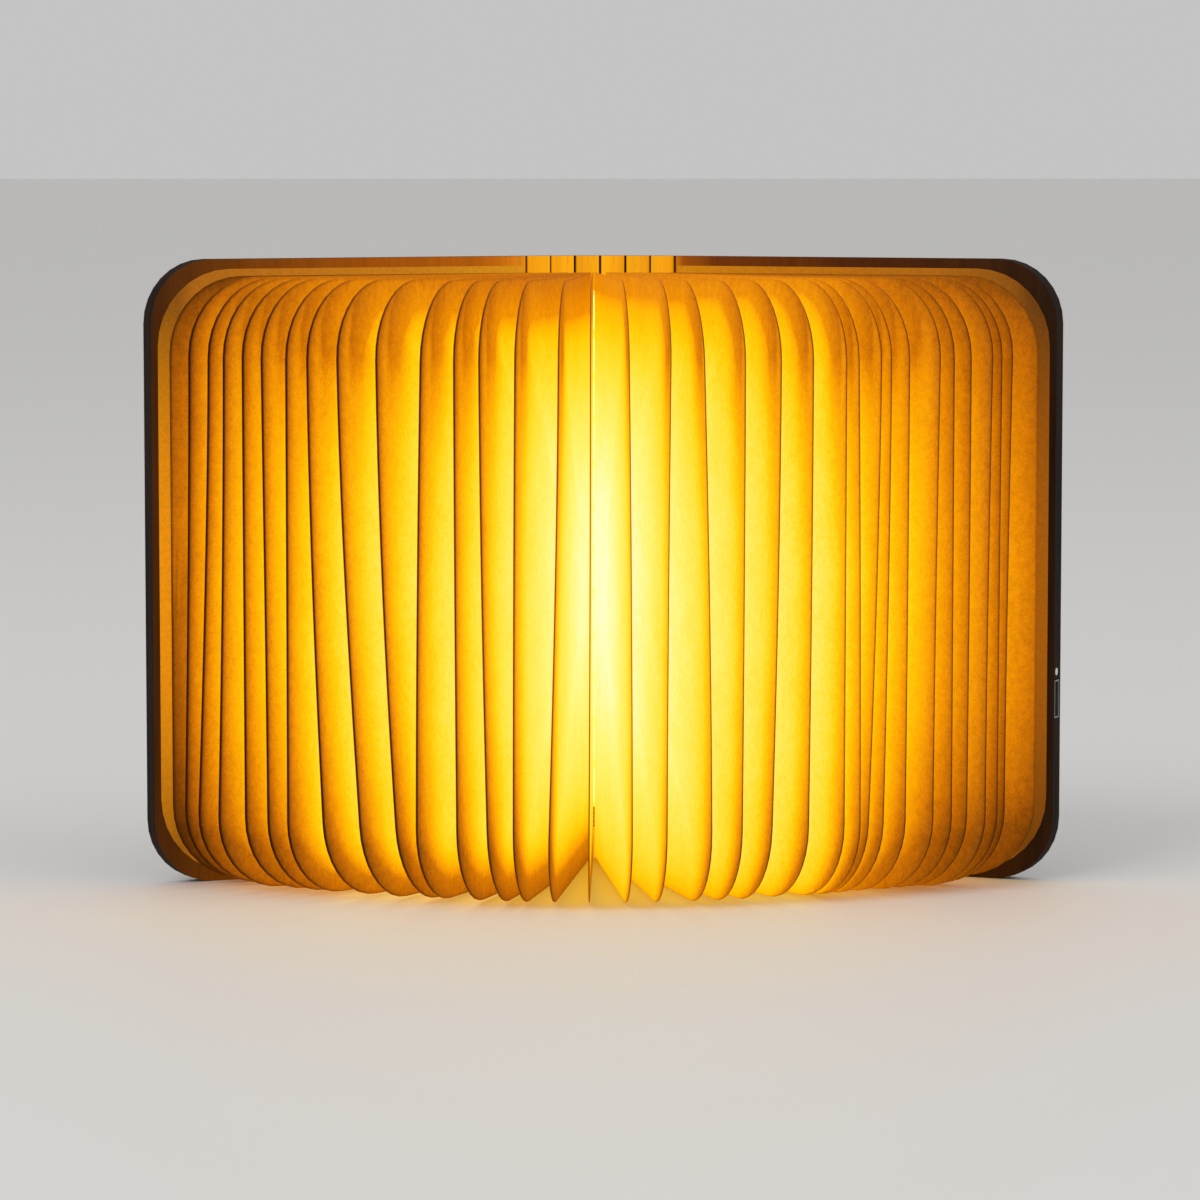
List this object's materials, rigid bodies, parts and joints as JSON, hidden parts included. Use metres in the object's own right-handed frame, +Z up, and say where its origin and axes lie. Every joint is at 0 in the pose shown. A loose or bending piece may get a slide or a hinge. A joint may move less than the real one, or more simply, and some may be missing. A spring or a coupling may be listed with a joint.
{
  "type": "folding book lamp",
  "caption": "Cordless table lamp shaped like a book: two wooden covers hinge on a slatted spine and fan out glowing paper pages.",
  "frame": {"origin": "on the surface that the lamp stands on, under the middle of its box as it stands open", "axes": "+Z up along the spine, -Y to the front where the pages point, +X to the right as seen from the front"},
  "size_m": [0.1792, 0.0828, 0.122],
  "materials": {
    "walnut": "oiled walnut with a fine straight grain",
    "veneer": "satin walnut veneer",
    "liner": "matt paper liner",
    "page_paper": "translucent fibrous paper, lit from inside",
    "hinge_cloth": "tight woven hinge cloth",
    "led": "milky lens over a white board",
    "magnet": "nickel plated",
    "steel": "bright stamped sheet",
    "battery_foil": "silver grey pouch foil",
    "circuit": "green solder mask",
    "ribbon": "amber polyimide film",
    "light": "frosted"
  },
  "bodies": {
    "spine": {"spine_cloth": "hinge_cloth", "led_ribbon": "ribbon"},
    "slat_1": {"spine_slat_1": "walnut"},
    "slat_2": {"spine_slat_2": "walnut", "led_bar_1": "led"},
    "slat_3": {"spine_slat_3": "walnut", "led_bar_2": "led"},
    "slat_4": {"spine_slat_4": "walnut", "led_bar_3": "led"},
    "slat_5": {"spine_slat_5": "walnut", "led_bar_4": "led"},
    "slat_6": {"spine_slat_6": "walnut"},
    "left_cover": {"left_cover_board": "walnut", "left_cover_veneer": "veneer", "left_cover_liner": "liner", "left_end_leaf": "page_paper", "left_magnet_upper": "magnet", "left_magnet_lower": "magnet"},
    "right_cover": {"right_cover_board": "walnut", "right_cover_veneer": "veneer", "right_cover_liner": "liner", "right_end_leaf": "page_paper", "right_magnet_upper": "magnet", "right_magnet_lower": "magnet", "battery": "battery_foil", "control_board": "circuit", "usb_socket": "steel", "charge_light": "light"},
    "page_01": {"page_01": "page_paper"},
    "page_02": {"page_02": "page_paper"},
    "page_03": {"page_03": "page_paper"},
    "page_04": {"page_04": "page_paper"},
    "page_05": {"page_05": "page_paper"},
    "page_06": {"page_06": "page_paper"},
    "page_07": {"page_07": "page_paper"},
    "page_08": {"page_08": "page_paper"},
    "page_09": {"page_09": "page_paper"},
    "page_10": {"page_10": "page_paper"},
    "page_11": {"page_11": "page_paper"},
    "page_12": {"page_12": "page_paper"},
    "page_13": {"page_13": "page_paper"},
    "page_14": {"page_14": "page_paper"},
    "page_15": {"page_15": "page_paper"},
    "page_16": {"page_16": "page_paper"},
    "page_17": {"page_17": "page_paper"},
    "page_18": {"page_18": "page_paper"},
    "page_19": {"page_19": "page_paper"},
    "page_20": {"page_20": "page_paper"},
    "page_21": {"page_21": "page_paper"},
    "page_22": {"page_22": "page_paper"},
    "page_23": {"page_23": "page_paper"},
    "page_24": {"page_24": "page_paper"},
    "page_25": {"page_25": "page_paper"},
    "page_26": {"page_26": "page_paper"},
    "page_27": {"page_27": "page_paper"},
    "page_28": {"page_28": "page_paper"},
    "page_29": {"page_29": "page_paper"},
    "page_30": {"page_30": "page_paper"},
    "page_31": {"page_31": "page_paper"},
    "page_32": {"page_32": "page_paper"}
  },
  "joints": [
    {"name": "left_groove_1", "type": "hinge", "parent": "spine", "child": "slat_3", "pos_m": [0, 0.04104, 0], "axis": [0, 0, -1], "range_deg": [-9.26, 17.3], "deforming": ["spine_cloth", "led_ribbon"]},
    {"name": "left_groove_2", "type": "hinge", "parent": "slat_3", "child": "slat_2", "pos_m": [-0.00519, 0.04072, 0], "axis": [0, 0, -1], "range_deg": [-18.53, 34.62]},
    {"name": "left_groove_3", "type": "hinge", "parent": "slat_2", "child": "slat_1", "pos_m": [-0.0103, 0.03974, 0], "axis": [0, 0, -1], "range_deg": [-18.53, 34.62]},
    {"name": "left_cover_hinge", "type": "hinge", "parent": "slat_1", "child": "left_cover", "pos_m": [-0.01524, 0.03813, 0], "axis": [0, 0, -1], "range_deg": [-18.53, 34.62]},
    {"name": "right_groove_1", "type": "hinge", "parent": "spine", "child": "slat_4", "pos_m": [0, 0.04104, 0], "axis": [0, 0, 1], "range_deg": [-9.28, 17.32]},
    {"name": "right_groove_2", "type": "hinge", "parent": "slat_4", "child": "slat_5", "pos_m": [0.00519, 0.04072, 0], "axis": [0, 0, 1], "range_deg": [-18.53, 34.62]},
    {"name": "right_groove_3", "type": "hinge", "parent": "slat_5", "child": "slat_6", "pos_m": [0.0103, 0.03974, 0], "axis": [0, 0, 1], "range_deg": [-18.53, 34.62]},
    {"name": "right_cover_hinge", "type": "hinge", "parent": "slat_6", "child": "right_cover", "pos_m": [0.01524, 0.03813, 0], "axis": [0, 0, 1], "range_deg": [-18.53, 34.62]},
    {"name": "page_01_fold", "type": "hinge", "parent": "left_cover", "child": "page_01", "pos_m": [-0.01421, 0.0336, 0], "axis": [0, 0, -1], "range_deg": [-10.67, 5.72]},
    {"name": "page_02_fold", "type": "hinge", "parent": "left_cover", "child": "page_02", "pos_m": [-0.01403, 0.0332, 0], "axis": [0, 0, -1], "range_deg": [-20.58, 11.02]},
    {"name": "page_03_fold", "type": "hinge", "parent": "left_cover", "child": "page_03", "pos_m": [-0.01384, 0.0328, 0], "axis": [0, 0, -1], "range_deg": [-27.12, 14.52]},
    {"name": "page_04_fold", "type": "hinge", "parent": "slat_1", "child": "page_04", "pos_m": [-0.01138, 0.03371, 0], "axis": [0, 0, -1], "range_deg": [-2.73, 5.09]},
    {"name": "page_05_fold", "type": "hinge", "parent": "slat_1", "child": "page_05", "pos_m": [-0.01041, 0.03403, 0], "axis": [0, 0, -1], "range_deg": [-2.24, 1.21]},
    {"name": "page_06_fold", "type": "hinge", "parent": "slat_1", "child": "page_06", "pos_m": [-0.00944, 0.03434, 0], "axis": [0, 0, -1], "range_deg": [-8.03, 4.31]},
    {"name": "page_07_fold", "type": "hinge", "parent": "slat_2", "child": "page_07", "pos_m": [-0.00731, 0.03481, 0], "axis": [0, 0, -1], "range_deg": [-12.45, 23.25]},
    {"name": "page_08_fold", "type": "hinge", "parent": "slat_2", "child": "page_08", "pos_m": [-0.00676, 0.03492, 0], "axis": [0, 0, -1], "range_deg": [-7.55, 14.09]},
    {"name": "page_09_fold", "type": "hinge", "parent": "slat_3", "child": "page_09", "pos_m": [-0.00428, 0.03536, 0], "axis": [0, 0, -1], "range_deg": [-21.66, 40.47]},
    {"name": "page_10_fold", "type": "hinge", "parent": "slat_3", "child": "page_10", "pos_m": [-0.00383, 0.03539, 0], "axis": [0, 0, -1], "range_deg": [-15.76, 29.44]},
    {"name": "page_11_fold", "type": "hinge", "parent": "slat_3", "child": "page_11", "pos_m": [-0.00338, 0.03542, 0], "axis": [0, 0, -1], "range_deg": [-10.26, 19.16]},
    {"name": "page_12_fold", "type": "hinge", "parent": "slat_3", "child": "page_12", "pos_m": [-0.00293, 0.03545, 0], "axis": [0, 0, -1], "range_deg": [-6.96, 12.99]},
    {"name": "page_13_fold", "type": "hinge", "parent": "slat_3", "child": "page_13", "pos_m": [-0.00247, 0.03548, 0], "axis": [0, 0, -1], "range_deg": [-2.46, 4.58]},
    {"name": "page_14_fold", "type": "hinge", "parent": "slat_3", "child": "page_14", "pos_m": [-0.00202, 0.0355, 0], "axis": [0, 0, -1], "range_deg": [-6.86, 3.68]},
    {"name": "page_15_fold", "type": "hinge", "parent": "slat_3", "child": "page_15", "pos_m": [-0.00157, 0.03553, 0], "axis": [0, 0, -1], "range_deg": [-14.52, 7.78]},
    {"name": "page_16_fold", "type": "hinge", "parent": "slat_3", "child": "page_16", "pos_m": [-0.00112, 0.03556, 0], "axis": [0, 0, -1], "range_deg": [-24.8, 13.28]},
    {"name": "page_17_fold", "type": "hinge", "parent": "slat_4", "child": "page_17", "pos_m": [0.00112, 0.03556, 0], "axis": [0, 0, 1], "range_deg": [-3.86, 2.08]},
    {"name": "page_18_fold", "type": "hinge", "parent": "slat_4", "child": "page_18", "pos_m": [0.00157, 0.03553, 0], "axis": [0, 0, 1], "range_deg": [-4.06, 7.58]},
    {"name": "page_19_fold", "type": "hinge", "parent": "slat_4", "child": "page_19", "pos_m": [0.00202, 0.0355, 0], "axis": [0, 0, 1], "range_deg": [-8.46, 15.8]},
    {"name": "page_20_fold", "type": "hinge", "parent": "slat_4", "child": "page_20", "pos_m": [0.00247, 0.03548, 0], "axis": [0, 0, 1], "range_deg": [-13.56, 25.33]},
    {"name": "page_21_fold", "type": "hinge", "parent": "slat_4", "child": "page_21", "pos_m": [0.00293, 0.03545, 0], "axis": [0, 0, 1], "range_deg": [-18.26, 34.11]},
    {"name": "page_22_fold", "type": "hinge", "parent": "slat_5", "child": "page_22", "pos_m": [0.00509, 0.03524, 0], "axis": [0, 0, 1], "range_deg": [-3.35, 6.24]},
    {"name": "page_23_fold", "type": "hinge", "parent": "slat_5", "child": "page_23", "pos_m": [0.00565, 0.03513, 0], "axis": [0, 0, 1], "range_deg": [-5.55, 10.35]},
    {"name": "page_24_fold", "type": "hinge", "parent": "slat_5", "child": "page_24", "pos_m": [0.0062, 0.03503, 0], "axis": [0, 0, 1], "range_deg": [-8.55, 15.96]},
    {"name": "page_25_fold", "type": "hinge", "parent": "slat_5", "child": "page_25", "pos_m": [0.00676, 0.03492, 0], "axis": [0, 0, 1], "range_deg": [-9.85, 18.39]},
    {"name": "page_26_fold", "type": "hinge", "parent": "slat_5", "child": "page_26", "pos_m": [0.00731, 0.03481, 0], "axis": [0, 0, 1], "range_deg": [-12.75, 23.81]},
    {"name": "page_27_fold", "type": "hinge", "parent": "slat_6", "child": "page_27", "pos_m": [0.00944, 0.03434, 0], "axis": [0, 0, 1], "range_deg": [-5.23, 2.81]},
    {"name": "page_28_fold", "type": "hinge", "parent": "slat_6", "child": "page_28", "pos_m": [0.01041, 0.03403, 0], "axis": [0, 0, 1], "range_deg": [-0.234, 0.42]},
    {"name": "page_29_fold", "type": "hinge", "parent": "slat_6", "child": "page_29", "pos_m": [0.01138, 0.03371, 0], "axis": [0, 0, 1], "range_deg": [-3.03, 5.65]},
    {"name": "page_30_fold", "type": "hinge", "parent": "right_cover", "child": "page_30", "pos_m": [0.01384, 0.0328, 0], "axis": [0, 0, 1], "range_deg": [-27.3, 14.62]},
    {"name": "page_31_fold", "type": "hinge", "parent": "right_cover", "child": "page_31", "pos_m": [0.01403, 0.0332, 0], "axis": [0, 0, 1], "range_deg": [-21.7, 11.62]},
    {"name": "page_32_fold", "type": "hinge", "parent": "right_cover", "child": "page_32", "pos_m": [0.01421, 0.0336, 0], "axis": [0, 0, 1], "range_deg": [-18.33, 9.82]}
  ],
  "couplings": [
    {"joint": "left_groove_2", "follows": "left_groove_1", "ratio": 2},
    {"joint": "left_groove_3", "follows": "left_groove_1", "ratio": 2},
    {"joint": "left_cover_hinge", "follows": "left_groove_1", "ratio": 2},
    {"joint": "right_groove_1", "follows": "left_groove_1", "ratio": 1},
    {"joint": "right_groove_2", "follows": "left_groove_1", "ratio": 2},
    {"joint": "right_groove_3", "follows": "left_groove_1", "ratio": 2},
    {"joint": "right_cover_hinge", "follows": "left_groove_1", "ratio": 2},
    {"joint": "page_01_fold", "follows": "left_groove_1", "ratio": -0.61574},
    {"joint": "page_02_fold", "follows": "left_groove_1", "ratio": -1.1883},
    {"joint": "page_03_fold", "follows": "left_groove_1", "ratio": -1.5664},
    {"joint": "page_04_fold", "follows": "left_groove_1", "ratio": 0.2932},
    {"joint": "page_05_fold", "follows": "left_groove_1", "ratio": -0.12808},
    {"joint": "page_06_fold", "follows": "left_groove_1", "ratio": -0.46296},
    {"joint": "page_07_fold", "follows": "left_groove_1", "ratio": 1.3426},
    {"joint": "page_08_fold", "follows": "left_groove_1", "ratio": 0.81328},
    {"joint": "page_09_fold", "follows": "left_groove_1", "ratio": 2.338},
    {"joint": "page_10_fold", "follows": "left_groove_1", "ratio": 1.7006},
    {"joint": "page_11_fold", "follows": "left_groove_1", "ratio": 1.1065},
    {"joint": "page_12_fold", "follows": "left_groove_1", "ratio": 0.75},
    {"joint": "page_13_fold", "follows": "left_groove_1", "ratio": 0.26388},
    {"joint": "page_14_fold", "follows": "left_groove_1", "ratio": -0.39506},
    {"joint": "page_15_fold", "follows": "left_groove_1", "ratio": -0.83796},
    {"joint": "page_16_fold", "follows": "left_groove_1", "ratio": -1.4321},
    {"joint": "page_17_fold", "follows": "left_groove_1", "ratio": -0.22222},
    {"joint": "page_18_fold", "follows": "left_groove_1", "ratio": 0.43672},
    {"joint": "page_19_fold", "follows": "left_groove_1", "ratio": 0.91204},
    {"joint": "page_20_fold", "follows": "left_groove_1", "ratio": 1.463},
    {"joint": "page_21_fold", "follows": "left_groove_1", "ratio": 1.9707},
    {"joint": "page_22_fold", "follows": "left_groove_1", "ratio": 0.35956},
    {"joint": "page_23_fold", "follows": "left_groove_1", "ratio": 0.59722},
    {"joint": "page_24_fold", "follows": "left_groove_1", "ratio": 0.9213},
    {"joint": "page_25_fold", "follows": "left_groove_1", "ratio": 1.0617},
    {"joint": "page_26_fold", "follows": "left_groove_1", "ratio": 1.375},
    {"joint": "page_27_fold", "follows": "left_groove_1", "ratio": -0.30092},
    {"joint": "page_28_fold", "follows": "left_groove_1", "ratio": 0.02314},
    {"joint": "page_29_fold", "follows": "left_groove_1", "ratio": 0.32562},
    {"joint": "page_30_fold", "follows": "left_groove_1", "ratio": -1.5772},
    {"joint": "page_31_fold", "follows": "left_groove_1", "ratio": -1.2531},
    {"joint": "page_32_fold", "follows": "left_groove_1", "ratio": -1.0586}
  ]
}
